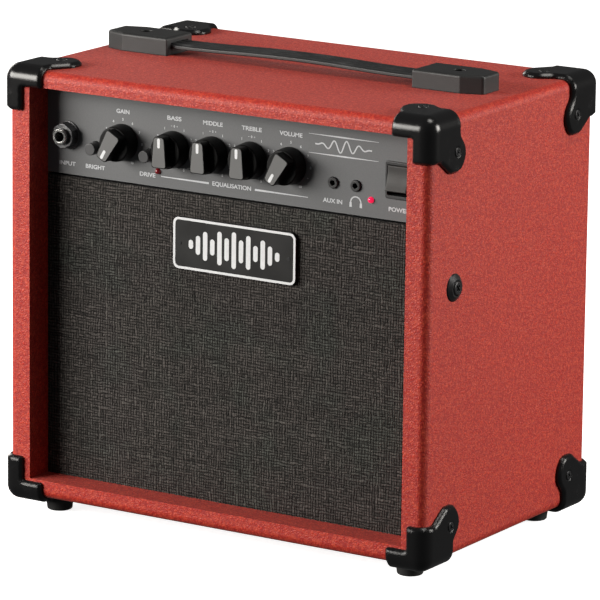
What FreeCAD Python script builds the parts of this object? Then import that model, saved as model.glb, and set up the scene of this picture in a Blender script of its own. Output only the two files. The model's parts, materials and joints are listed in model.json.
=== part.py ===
import FreeCAD, Part
import math
import os
from FreeCAD import Vector

# A small guitar combo amplifier, in millimetres. X runs to the right seen from the front, Y from
# the front to the back and Z up. The origin is under the middle of the cabinet, where the feet stand.

# ---- Cabinet ----
width = 320.0
depth = 206.0
body_height = 286.0
foot_height = 12.0
vinyl = 0.8
edge_r = 6.0
side_member = 16.6       # width of the front frame at each side, vinyl included
top_member = 10.6
bottom_member = 12.6
front_recess = 20.8      # from the front edges to the control panel and the cloth
rear_recess = 8.0
slack = 0.3              # gap round a board that slides into the cabinet

# ---- Baffle, cloth and rear ----
cloth_t = 1.0
baffle_t = 15.0
panel_bottom = 216.0     # above the underside of the cabinet
rear_board_t = 9.0
batten = 12.0

# ---- Mains inlet ----
inlet_x = 92.0
inlet_row = 236.0        # above the underside of the cabinet
inlet_plate_t = 1.5
inlet_flange_t = 2.5
pin_reach = 2.5          # how far inside the mounting plate's face the pins end

# ---- Control panel ----
panel_t = 1.5
chassis_t = 1.2
chassis_depth = 90.0
chassis_screw_up = 10.0  # height of the chassis's side screws above its floor
knob_row = 242.2         # above the underside of the cabinet
knob_x = {"gain": -84.0, "bass": -44.0, "middle": -14.4, "treble": 15.2, "volume": 44.8}
knob_rest = {"gain": -150.0, "bass": 0.0, "middle": 0.0, "treble": 0.0, "volume": -150.0}
knob_r = 12.0
knob_front_r = 11.3
knob_body = 11.0
knob_total = 18.0
knob_gap = 0.6
shaft_r = 3.0
bush_r = 3.5
bush_reach = 3.6         # how far a potentiometer's threaded bush stands out of the panel
shaft_reach = 13.0
button_row = 236.0
button_x = {"bright": -105.0, "drive": -63.0}
button_r = 4.0
button_out = 7.6
button_stem = 8.0        # from the panel's face back to the end of a button's stem
button_travel = 2.5
jack_x = -127.0
jack_r = 3.2
jack_out = 10.6
jack_thread_r = 4.6
mini_jack_row = 235.0
mini_jack_x = (77.0, 93.8)
mini_jack_r = 1.8
led_r = 2.0
led_places = {"power": (104.9, 227.2), "drive": (-56.4, 226.3)}
rocker_x = 125.5
rocker_z = 242.0
rocker_half = (7.8, 8.2)
rocker_tilt = 12.0
rocker_hollow_r = 24.0   # curve in the middle of the rocker's face
board_back = 13.2        # from the panel's face to the circuit board
pcb_t = 1.6

# ---- Badge, handle, feet and corners ----
badge_size = (94.0, 34.4)
badge_at = (4.0, 182.0)
badge_t = 2.5
handle_at = (-5.3, 109.0)  # middle of the handle: X, and Y behind the front edges
handle_half = 144.8
cap_inner = 94.5
cap_width = 30.0
cap_height = 12.0
cap_taper = 15.0         # length over which each cap narrows towards its end
cap_end_width = 20.0
strap_width = 20.0
strap_t = 3.6
strap_under = 4.2        # gap under the strap where the caps hold it
strap_rise = 1.7         # how much higher it is in the middle
strap_curve = 45.0       # each half of the strap bends up and back over this length
strap_hold = 34.0        # length of strap inside each cap
foot_inset = 24.0
foot_top_r = 9.4
foot_low_r = 8.3
corner_t = 3.4
corner_bevel = 1.9
corner_leg = 27.0        # reach of a protector along its upright edge
corner_foot = 27.2       # reach along its level edge
corner_screw = (27.5, 22.4)
corner_screw_grip = 6.5  # length of each screw in its board
corner_sink = 0.8        # depth that each screw head sinks into a protector
cup_r = 9.1              # cup washers of the side bolts
cup_flange = 0.8
cup_rise = 2.6
cup_dish_r = 5.0
cup_floor = 0.7
side_bolt_head_r = 4.6

# ---- Speakers ----
speaker_x = 68.0
speaker_z = 109.0
speaker_hole_r = 56.0
speaker_flange_r = 64.0
speaker_screw_r = 60.8
speaker_rim_t = 1.8
coil_r = 13.1

# ---- Worked out ----
front = -depth / 2
rear = depth / 2
base = foot_height
top = foot_height + body_height
foot_rise = foot_height - corner_t
side = width / 2
panel_y = front + front_recess
opening_x = side - side_member
cavity_x = opening_x + vinyl
cavity_low = base + bottom_member - vinyl
cavity_high = top - top_member + vinyl
baffle_y = panel_y + cloth_t
baffle_back = baffle_y + baffle_t
pcb_y = panel_y + board_back
chassis_y = panel_y + panel_t + 0.1
chassis_floor = base + panel_bottom + 0.5
rear_face = rear - rear_recess
inlet_z = base + inlet_row
rear_board_y = rear_face - rear_board_t


def box(x0, x1, y0, y1, z0, z1):
    return Part.makeBox(x1 - x0, y1 - y0, z1 - z0, Vector(x0, y0, z0))


def rod(r, start, end):
    run = Vector(*end) - Vector(*start)
    return Part.makeCylinder(r, run.Length, Vector(*start), run)


def rod_y(r, x, z, y0, y1):
    return rod(r, (x, y0, z), (x, y1, z))


def fuse(shapes):
    return shapes[0].multiFuse(shapes[1:]).removeSplitter()


def group(shapes):
    return Part.makeCompound(shapes)


def save(name, shape):
    shape.exportStep("parts/" + name + ".step")


def turned(points, x, z, y0):
    """A solid of revolution about a line along Y. Each point is a radius and a distance behind y0."""
    loop = [Vector(x + r, y0 + run, z) for r, run in points]
    face = Part.Face(Part.makePolygon(loop + loop[:1]))
    return face.revolve(Vector(x, 0, z), Vector(0, 1, 0), 360)


def rounded_outline(points, place):
    """A closed wire through corner points (u, v, radius), each rounded, placed in space by place(u, v)."""
    count = len(points)
    edges = []
    previous_end = None
    first_start = None
    for i in range(count):
        u, v, r = points[i]
        here = Vector(u, v, 0)
        back = Vector(*points[i - 1][:2], 0) - here
        ahead = Vector(*points[(i + 1) % count][:2], 0) - here
        start = here
        end = here
        if r > 0:
            half = back.getAngle(ahead) / 2
            reach = r / math.tan(half)
            back.normalize()
            ahead.normalize()
            start = here + back * reach
            end = here + ahead * reach
        if previous_end is not None and (start - previous_end).Length > 1e-6:
            edges.append(Part.LineSegment(place(previous_end), place(start)).toShape())
        if r > 0:
            to_centre = back + ahead
            to_centre.normalize()
            middle = here + to_centre * (r / math.sin(half) - r)
            edges.append(Part.Arc(place(start), place(middle), place(end)).toShape())
        if first_start is None:
            first_start = start
        previous_end = end
    if (first_start - previous_end).Length > 1e-6:
        edges.append(Part.LineSegment(place(previous_end), place(first_start)).toShape())
    return Part.Wire(edges)


def rounded_plate(cx, cz, size_x, size_z, r, y0, y1):
    u = size_x / 2
    v = size_z / 2
    corners = [(-u, -v, r), (u, -v, r), (u, v, r), (-u, v, r)]
    wire = rounded_outline(corners, lambda p: Vector(cx + p.x, y0, cz + p.y))
    return Part.Face(wire).extrude(Vector(0, y1 - y0, 0))


def edges_on_plane(shape, axis, value):
    lows = {"x": "XMin", "y": "YMin", "z": "ZMin"}
    highs = {"x": "XMax", "y": "YMax", "z": "ZMax"}
    found = []
    for edge in shape.Edges:
        b = edge.BoundBox
        if abs(getattr(b, lows[axis]) - value) < 1e-4 and abs(getattr(b, highs[axis]) - value) < 1e-4:
            found.append(edge)
    return found


def hex_nut(x, z, across, y0, y1, bore):
    reach = across / math.sqrt(3)
    points = [Vector(x + reach * math.cos(math.radians(60 * i + 30)), y0,
                     z + reach * math.sin(math.radians(60 * i + 30))) for i in range(7)]
    blank = Part.Face(Part.makePolygon(points)).extrude(Vector(0, y1 - y0, 0))
    return blank.cut(rod_y(bore, x, z, y0 - 1, y1 + 1))


def screw(head, way, head_r, head_t, shank_r, length):
    """A cross-head screw: head is the middle of the seat under its head and way is where its tip points."""
    seat = Vector(*head)
    way = Vector(*way)
    crown = Part.makeCylinder(head_r, head_t, seat - way * head_t, way)
    outer = edges_far(crown, seat, way)
    crown = crown.makeFillet(head_t * 0.45, outer)
    shank = Part.makeCylinder(shank_r, length, seat, way)
    whole = fuse([crown, shank])
    return whole.cut(cross_slot(seat - way * head_t, way, head_r))


def edges_far(crown, seat, way):
    return [e for e in crown.Edges if e.Closed and (e.BoundBox.Center - seat).dot(way) < -1e-3]


def cross_slot(face, way, head_r):
    """The cross recess in a screw head, turned an eighth from upright."""
    across = Vector(0, 0, 1) if abs(way.z) < 0.5 else Vector(1, 0, 0)
    aside = way.cross(across)
    half = head_r * 0.55
    slot = head_r * 0.13
    bars = []
    for u, v in ((across + aside, across - aside), (across - aside, across + aside)):
        u = u.normalize()
        v = v.normalize()
        corner = face - u * half - v * slot - way * 0.2
        outline = [corner, corner + u * 2 * half, corner + u * 2 * half + v * 2 * slot, corner + v * 2 * slot]
        bars.append(Part.Face(Part.makePolygon(outline + outline[:1])).extrude(way * (head_r * 0.35 + 0.2)))
    return fuse(bars)


# ---------------------------------------------------------------- cabinet

def corner_places():
    """Each corner of the cabinet: its point and its signs along X, Y and Z."""
    for sz in (1, -1):
        for sy in (-1, 1):
            for sx in (-1, 1):
                yield Vector(sx * side, sy * rear, top if sz > 0 else base), (sx, sy, sz)


def corner_screw_seats():
    """Where the protectors' screws meet the vinyl, and the way they point. Below, a foot's bolt holds them."""
    along_y, inward = corner_screw
    seats = []
    for point, (sx, sy, sz) in corner_places():
        y = point.y - sy * along_y
        seats.append(((point.x, y, point.z - sz * inward), (-sx, 0, 0)))
        if sz > 0:
            seats.append(((point.x - sx * inward, y, point.z), (0, 0, -sz)))
    return seats


def side_bolt_seats():
    z = base + 176.0
    y = baffle_y + 9.7
    return [((sx * side, y, z), (-sx, 0, 0)) for sx in (-1, 1)]


def foot_places():
    return [(sx * (side - foot_inset), sy * (rear - foot_inset)) for sy in (-1, 1) for sx in (-1, 1)]


def handle_bolt_places():
    x0, y0 = handle_at
    offset = (cap_inner + handle_half) / 2 + 1.0
    return [(x0 + sx * offset, front + y0) for sx in (-1, 1)]


def cabinet_drills():
    """Holes through the vinyl and into the boards, for every screw that enters from outside."""
    drills = []
    for seat, way in corner_screw_seats():
        start = Vector(*seat) - Vector(*way) * 1.0
        drills.append(Part.makeCylinder(1.6, corner_screw_grip + 2.1, start, Vector(*way)))
    for seat, way in side_bolt_seats():
        drills.append(Part.makeCylinder(2.1, side_member + 14.0, Vector(*seat) - Vector(*way), Vector(*way)))
    for x, y in foot_places():
        drills.append(rod(2.1, (x, y, base - 1), (x, y, base + 9.2)))
    for x, y in handle_bolt_places():
        drills.append(rod(2.1, (x, y, top - 9.1), (x, y, top + 1)))
    return drills


def board_block():
    block = box(-side + vinyl, side - vinyl, front + vinyl, rear - vinyl, base + vinyl, top - vinyl)
    block = block.makeFillet(edge_r - vinyl, block.Edges)
    return block.cut(box(-cavity_x, cavity_x, front - 1, rear + 1, cavity_low, cavity_high))


def boards():
    block = board_block().cut(group(cabinet_drills() + chassis_screw_holes_in_boards()))
    save("board_left", block.common(box(-side, -cavity_x, front, rear, base, top)))
    save("board_right", block.common(box(cavity_x, side, front, rear, base, top)))
    middle_z = (base + top) / 2
    save("board_top", block.common(box(-cavity_x, cavity_x, front, rear, middle_z, top)))
    save("board_bottom", block.common(box(-cavity_x, cavity_x, front, rear, base, middle_z)))


def vinyl_cover():
    outer = box(-side, side, front, rear, base, top)
    outer = outer.makeFillet(edge_r, outer.Edges)
    skin = outer.cut(board_block())
    low = base + bottom_member
    high = top - top_member
    skin = skin.cut(box(-opening_x, opening_x, front - 1, rear + 1, low, high))
    skin = skin.cut(box(-cavity_x, cavity_x, panel_y, rear_face, cavity_low, cavity_high))
    save("vinyl_cover", skin.cut(group(cabinet_drills())))


def rear_battens():
    bars = []
    for sx in (-1, 1):
        x0, x1 = sorted((sx * (cavity_x - batten), sx * cavity_x))
        bars.append(box(x0, x1, rear_board_y - batten, rear_board_y, base + 16, top - 16))
    holes = [rod_y(1.4, x, z, rear_board_y - 7.6, rear_board_y + 1) for x, z in rear_screw_places()]
    save("rear_battens", group(bars).cut(group(holes)))


def rear_screw_places():
    x = cavity_x - batten / 2
    return [(sx * x, z) for sx in (-1, 1) for z in (base + 30, (base + top) / 2, top - 30)]


def corner_face_outline():
    """The protector's angle on the front or rear, as distances from the side and from the level edge."""
    leg = 12.0
    foot = 11.0
    over = corner_t + 1
    return [(-over, -over, 0), (-over, corner_leg, 0), (leg, corner_leg, 2), (leg, foot, 1.5),
            (corner_foot, foot, 2), (corner_foot, -over, 0)]


def corner_lobe_outline(reach):
    """The rounded ear that takes a screw, as distances from the front or rear and from the cabinet's edge.
    It starts as wide as reach."""
    over = corner_t + 1
    return [(-over, -over, 0), (-over, reach, 0), (9.0, reach, 4), (22, 36.0, 8),
            (34, 36.0, 9), (41.6, 22.8, 11), (32.4, 11.5, 6), (32.4, -over, 0)]


def corner_protector(level_hole, hole_r, sink):
    """One protector, for the right front top corner, which is at the origin here. Its level ear is drilled
    at level_hole, and sink is how deep the heads of its screws sit there."""
    size = 60.0
    block = Part.makeBox(size, size, size, Vector(-size, 0, -size))
    grown = Part.makeBox(size + corner_t, size + corner_t, size + corner_t, Vector(-size, -corner_t, -size))
    block = block.makeFillet(edge_r, corner_edges(block, 0.0, 0.0, 0.0))
    grown = grown.makeFillet(edge_r + corner_t, corner_edges(grown, corner_t, -corner_t, corner_t))
    shell = grown.cut(block)
    over = corner_t + 1
    deep = edge_r + 1
    on_side = rounded_outline(corner_lobe_outline(corner_leg), lambda p: Vector(-deep, p.x, -p.y))
    on_top = rounded_outline(corner_lobe_outline(corner_foot), lambda p: Vector(-p.y, p.x, -deep))
    on_face = rounded_outline(corner_face_outline(), lambda p: Vector(-p.x, -over, -p.y))
    cutters = [Part.Face(on_side).extrude(Vector(deep + over, 0, 0)),
               Part.Face(on_top).extrude(Vector(0, 0, deep + over)),
               Part.Face(on_face).extrude(Vector(0, deep + over, 0))]
    shape = shell.common(fuse(cutters)).Solids[0]
    shape = shape.makeChamfer(corner_bevel, outline_edges(shape, grown))
    along_y, inward = corner_screw
    holes = [rod(1.9, (-1, along_y, -inward), (over, along_y, -inward)),
             rod(3.4, (corner_t - corner_sink, along_y, -inward), (over, along_y, -inward))]
    along_y, inward = level_hole
    holes.append(rod(hole_r, (-inward, along_y, -1), (-inward, along_y, over)))
    if sink:
        holes.append(rod(3.4, (-inward, along_y, corner_t - sink), (-inward, along_y, over)))
    return shape.cut(group(holes))


def outline_edges(shape, grown):
    """The outer edges of a protector's outline: those on its outer skin with a cut face beside them."""
    skin = grown.Shells[0]
    found = []
    for edge in shape.Edges:
        span = edge.LastParameter - edge.FirstParameter
        points = [edge.valueAt(edge.FirstParameter + span * i / 4) for i in range(5)]
        if all(on_skin(p, skin) for p in points):
            beside = [f for f in shape.Faces if any(e.isSame(edge) for e in f.Edges)]
            if not all(on_skin(v.Point, skin) for f in beside for v in f.Vertexes):
                found.append(edge)
    return found


def on_skin(point, skin):
    return Part.Vertex(point).distToShape(skin)[0] < 1e-5


def corner_edges(block, x, y, z):
    """The three edges of a block that meet at the outer corner."""
    found = []
    for edge in block.Edges:
        b = edge.BoundBox
        at_x = abs(b.XMin - x) < 1e-6 and abs(b.XMax - x) < 1e-6
        at_y = abs(b.YMin - y) < 1e-6 and abs(b.YMax - y) < 1e-6
        at_z = abs(b.ZMin - z) < 1e-6 and abs(b.ZMax - z) < 1e-6
        if at_x + at_y + at_z == 2:
            found.append(edge)
    return found


def corner_protectors():
    upper = corner_protector(corner_screw, 1.9, corner_sink)
    lower = corner_protector((foot_inset, foot_inset), 2.2, 0)
    sets = {-1: [], 1: []}
    for point, (sx, sy, sz) in corner_places():
        piece = upper.copy() if sz > 0 else lower.copy()
        if sx < 0:
            piece = piece.mirror(Vector(0, 0, 0), Vector(1, 0, 0))
        if sy > 0:
            piece = piece.mirror(Vector(0, 0, 0), Vector(0, 1, 0))
        if sz < 0:
            piece = piece.mirror(Vector(0, 0, 0), Vector(0, 0, 1))
        piece.translate(point)
        sets[sy].append(piece)
    save("corner_protectors_front", group(sets[-1]))
    save("corner_protectors_rear", group(sets[1]))


def corner_screws():
    screws = []
    for seat, way in corner_screw_seats():
        under_head = corner_t - corner_sink
        out = Vector(*seat) - Vector(*way) * under_head
        screws.append(screw(tuple(out), way, 3.1, 1.3, 1.5, corner_screw_grip + under_head))
    save("corner_screws", group(screws))


def cabinet_bolts():
    bolts = []
    cups = []
    for seat, way in side_bolt_seats():
        seat = Vector(*seat)
        way = Vector(*way)
        flange = Part.makeCone(cup_r, cup_r - 0.5, cup_flange, seat, way * -1)
        dome_at = seat - way * cup_flange
        dome = Part.makeCone(cup_r - 0.5, cup_dish_r + 1.0, cup_rise - cup_flange, dome_at, way * -1)
        cup = fuse([flange, dome]).cut(Part.makeCylinder(2.1, 4, seat + way, way * -1))
        dish = Part.makeCylinder(cup_dish_r, cup_rise, seat - way * cup_floor, way * -1)
        cups.append(cup.cut(dish))
        bolts.append(screw(tuple(seat - way * cup_floor), tuple(way), side_bolt_head_r, 2.6, 2.0, 28.0))
    save("cup_washers", group(cups))
    for x, y in handle_bolt_places():
        seat_z = top + strap_under + strap_t + 0.1
        bolts.append(screw((x, y, seat_z), (0, 0, -1), 3.2, 1.3, 2.0, strap_under + strap_t + 8.5))
    for x, y in foot_places():
        bolts.append(screw((x, y, foot_rise - 4.0), (0, 0, 1), 3.6, 1.8, 2.0, 4.0 + corner_t + 8.5))
    for x, z in inlet_screw_places():
        y = rear_face + inlet_plate_t + inlet_flange_t
        bolts.append(screw((x, y, z), (0, -1, 0), 2.9, 1.5, 1.5, 10.0))
        bolts.append(hex_nut(x, z, 5.5, rear_face - 2.4, rear_face, 1.52))
    save("cabinet_bolts", group(bolts))


def rubber_feet():
    feet = []
    for x, y in foot_places():
        foot = Part.makeCone(foot_low_r, foot_top_r, foot_rise, Vector(x, y, 0))
        foot = foot.makeFillet(1.2, edges_on_plane(foot, "z", 0.0))
        foot = foot.cut(rod(5.0, (x, y, -1), (x, y, foot_rise - 4.0)))
        feet.append(foot.cut(rod(2.1, (x, y, 0), (x, y, base + 1))))
    save("rubber_feet", group(feet))


# ---------------------------------------------------------------- handle

def strap_profile():
    """The strap's cross-section: flat below, rounded at both edges, with three ribs on top."""
    half = strap_width / 2
    groove = strap_t - 0.8
    outline = [(-half, 0, 0.8), (half, 0, 0.8), (half, groove, 0.9)]
    for centre in (6.2, 0.0, -6.2):
        outline += [(centre + 2.4, groove, 0.4), (centre + 1.8, strap_t, 0.35),
                    (centre - 1.8, strap_t, 0.35), (centre - 2.4, groove, 0.4)]
    outline.append((-half, groove, 0.9))
    return outline


def arched_strap(profile, x0, low):
    """The strap, level where the caps hold it and bent up in a shallow arch between them."""
    strap_end = cap_inner + strap_hold
    turn = 2 * math.degrees(math.atan(strap_rise / 2 / strap_curve))
    bend_r = strap_curve / math.sin(math.radians(turn))
    crest = low + strap_rise
    middle = profile.copy()
    middle.translate(Vector(x0, 0, crest))
    arch = middle.revolve(Vector(x0, 0, crest - bend_r), Vector(0, 1, 0), turn)
    pieces = [arch, middle.revolve(Vector(x0, 0, crest - bend_r), Vector(0, 1, 0), -turn)]
    for sx in (-1, 1):
        held = profile.copy()
        bend_x = x0 + sx * 2 * strap_curve
        held.translate(Vector(bend_x, 0, low))
        pieces.append(held.revolve(Vector(bend_x, 0, low + bend_r), Vector(0, 1, 0), sx * turn))
        pieces.append(held.extrude(Vector(sx * (strap_end - 2 * strap_curve), 0, 0)))
    return fuse(pieces)


def handle():
    x0, y_behind = handle_at
    y0 = front + y_behind
    low = top + strap_under
    inner = cap_inner - slack
    strap_end = cap_inner + strap_hold
    wire = rounded_outline(strap_profile(), lambda p: Vector(0, y0 + p.x, p.y))
    strap = arched_strap(Part.Face(wire), x0, low)
    bolts = handle_bolt_places()
    for x, y in bolts:
        strap = strap.cut(rod(2.2, (x, y, low - 1), (x, y, low + strap_t + 1)))
    save("handle_strap", strap)
    for name, sx, (bolt_x, bolt_y) in (("left", -1, bolts[0]), ("right", 1, bolts[1])):
        save("handle_cap_" + name, handle_cap(x0, y0, sx, bolt_x, bolt_y, inner, strap_end))


def handle_cap(x0, y0, sx, bolt_x, bolt_y, inner, strap_end):
    half = cap_width / 2
    low = top + strap_under
    taper = handle_half - cap_taper
    end = cap_end_width / 2
    corners = [(inner, -half, 0.8), (taper, -half, 2.5), (handle_half, -end, 2.5),
               (handle_half, end, 2.5), (taper, half, 2.5), (inner, half, 0.8)]
    wire = rounded_outline(corners, lambda p: Vector(x0 + sx * p.x, y0 + p.y, top))
    cap = Part.Face(wire).extrude(Vector(0, 0, cap_height))
    cap = cap.makeFillet(1.8, edges_on_plane(cap, "z", top + cap_height))
    pocket_half = strap_width / 2 + slack
    pocket = sorted((x0 + sx * (inner - 1), x0 + sx * (strap_end + slack)))
    pocket = box(pocket[0], pocket[1], y0 - pocket_half, y0 + pocket_half, low, low + strap_t + 0.1)
    cap = cap.cut(pocket)
    cap = cap.cut(rod(4.2, (bolt_x, bolt_y, low), (bolt_x, bolt_y, top + cap_height + 1)))
    return cap.cut(rod(2.2, (bolt_x, bolt_y, top - 1), (bolt_x, bolt_y, low)))


# ---------------------------------------------------------------- front and rear

def baffle_holes():
    return [rod_y(speaker_hole_r, sx * speaker_x, base + speaker_z, baffle_y - 1, baffle_back + 1)
            for sx in (-1, 1)]


def speaker_screw_places():
    places = []
    for sx in (-1, 1):
        for i in range(4):
            angle = math.radians(45 + 90 * i)
            places.append((sx * speaker_x + speaker_screw_r * math.cos(angle),
                           base + speaker_z + speaker_screw_r * math.sin(angle)))
    return places


def baffle_board():
    x = cavity_x - slack
    board = box(-x, x, baffle_y, baffle_back, cavity_low + slack, base + panel_bottom - 1.6)
    board = board.cut(group(baffle_holes()))
    drills = [rod_y(1.4, px, pz, baffle_back - 9.7, baffle_back + 1) for px, pz in speaker_screw_places()]
    for seat, way in side_bolt_seats():
        drills.append(Part.makeCylinder(2.1, 28.5, Vector(*seat), Vector(*way)))
    for px, pz in badge_pins():
        drills.append(rod_y(1.1, px, pz, baffle_y - 1, baffle_y + 5))
    save("baffle_board", board.cut(group(drills)))


def grille_cloth():
    x = cavity_x - slack
    cloth = box(-x, x, panel_y, baffle_y, cavity_low + slack, base + panel_bottom - 1.6)
    pins = [rod_y(1.1, px, pz, panel_y - 1, baffle_y + 1) for px, pz in badge_pins()]
    save("grille_cloth", cloth.cut(group(pins)))


def badge_pins():
    x, z = badge_at
    return [(x + sx * (badge_size[0] / 2 - 5.5), base + z) for sx in (-1, 1)]


def badge():
    x, z = badge_at
    plate = rounded_plate(x, base + z, badge_size[0], badge_size[1], 4.5, panel_y - badge_t, panel_y)
    plate = plate.makeFillet(0.7, edges_on_plane(plate, "y", panel_y - badge_t))
    pins = [rod_y(1.0, px, pz, panel_y - 0.5, baffle_y + 4) for px, pz in badge_pins()]
    save("badge", fuse([plate] + pins))


def vent_slots():
    """A row of upright slots near the top of the rear board."""
    slots = []
    for i in range(10):
        x = -104.0 + 13.0 * i
        slots.append(rounded_plate(x, base + 238, 5.0, 40.0, 2.4, rear_board_y - 1, rear_face + 1))
    return slots


def inlet_screw_places():
    return [(inlet_x + sx * 20.0, inlet_z) for sx in (-1, 1)]


def plate_screw_places():
    return [(inlet_x + sx * 31.0, inlet_z + sz * 19.0) for sx in (-1, 1) for sz in (-1, 1)]


def rear_board():
    x = cavity_x - slack
    board = box(-x, x, rear_board_y, rear_face, cavity_low + slack, cavity_high - slack)
    board = board.cut(group(vent_slots()))
    board = board.cut(rounded_plate(inlet_x, inlet_z, 50.0, 28.0, 3.0, rear_board_y - 1, rear_face + 1))
    holes = [rod_y(1.7, px, pz, rear_board_y - 1, rear_face + 1) for px, pz in rear_screw_places()]
    holes += [rod_y(1.4, px, pz, rear_face - 6.6, rear_face + 1) for px, pz in plate_screw_places()]
    save("rear_board", board.cut(group(holes)))


def inlet():
    plate = rounded_plate(inlet_x, inlet_z, 74.0, 50.0, 3.0, rear_face, rear_face + inlet_plate_t)
    plate = plate.cut(rounded_plate(inlet_x, inlet_z, 27.6, 20.0, 2.0, rear_face - 1, rear_face + 3))
    holes = [rod_y(1.7, px, pz, rear_face - 1, rear_face + 3)
             for px, pz in plate_screw_places() + inlet_screw_places()]
    save("inlet_plate", plate.cut(group(holes)))
    seat = rear_face + inlet_plate_t
    body_front = seat - 20.0
    flange = rounded_plate(inlet_x, inlet_z, 48.0, 22.5, 4.0, seat, seat + inlet_flange_t)
    flange = flange.makeFillet(0.6, edges_on_plane(flange, "y", seat + inlet_flange_t))
    body = rounded_plate(inlet_x, inlet_z, 27.2, 19.6, 2.0, body_front, seat + 1)
    whole = fuse([flange, body])
    whole = whole.cut(rounded_plate(inlet_x, inlet_z, 24.4, 16.8, 2.5, seat - 15.0, seat + 4))
    pins = inlet_pin_solids(seat)
    whole = whole.cut(group(pins))
    holes = [rod_y(1.7, px, pz, seat - 1, seat + 4) for px, pz in inlet_screw_places()]
    save("mains_inlet", whole.cut(group(holes)))
    save("inlet_pins", group(pins))


def inlet_pin_solids(seat):
    """Two flat pins side by side and the earth pin above them, with tags behind the body."""
    pins = []
    for dx, dz in ((-7.0, -2.0), (7.0, -2.0), (0.0, 2.0)):
        x = inlet_x + dx
        z = inlet_z + dz
        pins.append(box(x - 1.0, x + 1.0, seat - 27.0, seat - pin_reach, z - 2.0, z + 2.0))
    return pins


def wood_screws():
    """The black pan-head screws of the rear board, the inlet plate, the speakers and the chassis."""
    screws = []
    for x, z in rear_screw_places():
        screws.append(screw((x, rear_face, z), (0, -1, 0), 3.4, 1.6, 1.3, rear_board_t + 7.0))
    for x, z in plate_screw_places():
        screws.append(screw((x, rear_face + inlet_plate_t, z), (0, -1, 0), 3.0, 1.4, 1.3, 7.5))
    for x, z in speaker_screw_places():
        screws.append(screw((x, baffle_back + speaker_rim_t, z), (0, -1, 0), 3.0, 1.4, 1.3, 11.0))
    for x, y, way in chassis_screw_places():
        screws.append(screw((x, y, chassis_floor + chassis_screw_up), (way, 0, 0), 3.0, 1.4, 1.3, 9.0))
    save("wood_screws", group(screws))


# ---------------------------------------------------------------- controls

def chassis_screw_places():
    x = cavity_x - chassis_t - 0.1
    return [(sx * x, chassis_y + d, sx) for sx in (-1, 1) for d in (45.0, 78.0)]


def panel_cutouts(y0, y1, clearance):
    """Every hole that the panel and the front of the chassis share."""
    z = base + knob_row
    cuts = [rod_y(bush_r + clearance, x, z, y0, y1) for x in knob_x.values()]
    cuts += [rod_y(button_r + 0.4, x, base + button_row, y0, y1) for x in button_x.values()]
    cuts.append(rod_y(jack_thread_r + clearance, jack_x, z, y0, y1))
    cuts += [rod_y(3.0 + clearance, x, base + mini_jack_row, y0, y1) for x in mini_jack_x]
    cuts += [rod_y(led_r + 0.1, x, base + lz, y0, y1) for x, lz in led_places.values()]
    cuts.append(box(rocker_x - 8.9, rocker_x + 8.9, y0, y1, base + rocker_z - 11.1, base + rocker_z + 11.1))
    return cuts


def control_panel():
    x = cavity_x - slack
    low = base + panel_bottom
    high = cavity_high - slack
    panel = box(-x, x, panel_y, panel_y + panel_t, low, high)
    save("control_panel", panel.cut(group(panel_cutouts(panel_y - 1, panel_y + panel_t + 1, 0.1))))


def chassis_tray():
    x = cavity_x - 0.1
    y0 = chassis_y
    y1 = chassis_y + chassis_depth
    low = chassis_floor
    high = cavity_high - 3.0
    lip = low + 22.0
    walls = [box(-x, x, y0, y1, low, low + chassis_t),
             box(-x, x, y0, y0 + chassis_t, low, high),
             box(-x, x, y1 - chassis_t, y1, low, high - 14.0),
             box(-x, -x + chassis_t, y0, y1, low, lip),
             box(x - chassis_t, x, y0, y1, low, lip)]
    tray = fuse(walls)
    tray = tray.cut(group(panel_cutouts(y0 - 1, y0 + chassis_t + 1, 0.1)))
    holes = [rod(1.4, (px - 3 * way, y, low + chassis_screw_up), (px + 3 * way, y, low + chassis_screw_up))
             for px, y, way in chassis_screw_places()]
    save("chassis_tray", tray.cut(group(holes)))


def chassis_screw_holes_in_boards():
    z = chassis_floor + chassis_screw_up
    return [rod(1.4, (px, y, z), (px + way * 9.5, y, z)) for px, y, way in chassis_screw_places()]


def pots():
    back = chassis_y + chassis_t
    z = base + knob_row
    housings = []
    nuts = []
    for name, x in knob_x.items():
        can = rod_y(8.2, x, z, back, pcb_y)
        can = can.makeFillet(0.6, edges_on_plane(can, "y", back))
        bush = rod_y(bush_r, x, z, panel_y - bush_reach, back + 1)
        housing = fuse([can, bush]).cut(rod_y(shaft_r + 0.05, x, z, panel_y - 5, pcb_y - 2.2))
        housings.append(housing)
        nuts.append(hex_nut(x, z, 11.0, panel_y - 2.4, panel_y, bush_r + 0.02))
        save("shaft_" + name, rod_y(shaft_r, x, z, panel_y - shaft_reach, pcb_y - 2.6))
        save("knob_" + name, knob(x, z, knob_rest[name]))
    save("pot_housings", group(housings))
    save("pot_nuts", group(nuts))


def knob(x, z, rest_angle):
    """A round knob with a raised pointer bar, wide at its tail and narrow at its tip."""
    body = turned([(0, -knob_body), (knob_front_r, -knob_body), (knob_r, -knob_gap - 2.0),
                   (knob_r, -knob_gap), (0, -knob_gap)], x, z, panel_y)
    body = body.makeFillet(1.0, edges_on_plane(body, "y", panel_y - knob_body))
    tail = [(-5.8, -9.8, 1.8), (5.8, -9.8, 1.8), (4.2, 10.8, 2.4), (-4.2, 10.8, 2.4)]
    bar = rounded_outline(tail, lambda p: Vector(x + p.x, panel_y - 3.0, z + p.y))
    bar = Part.Face(bar).extrude(Vector(0, 3.0 - knob_total, 0))
    bar = bar.makeFillet(0.5, edges_on_plane(bar, "y", panel_y - knob_total))
    whole = fuse([body, bar])
    whole = whole.cut(rod_y(shaft_r, x, z, panel_y - shaft_reach, panel_y + 1))
    whole = whole.cut(rod_y(7.6, x, z, panel_y - 4.6, panel_y + 1))
    whole.rotate(Vector(x, 0, z), Vector(0, 1, 0), rest_angle)
    return whole


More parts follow.
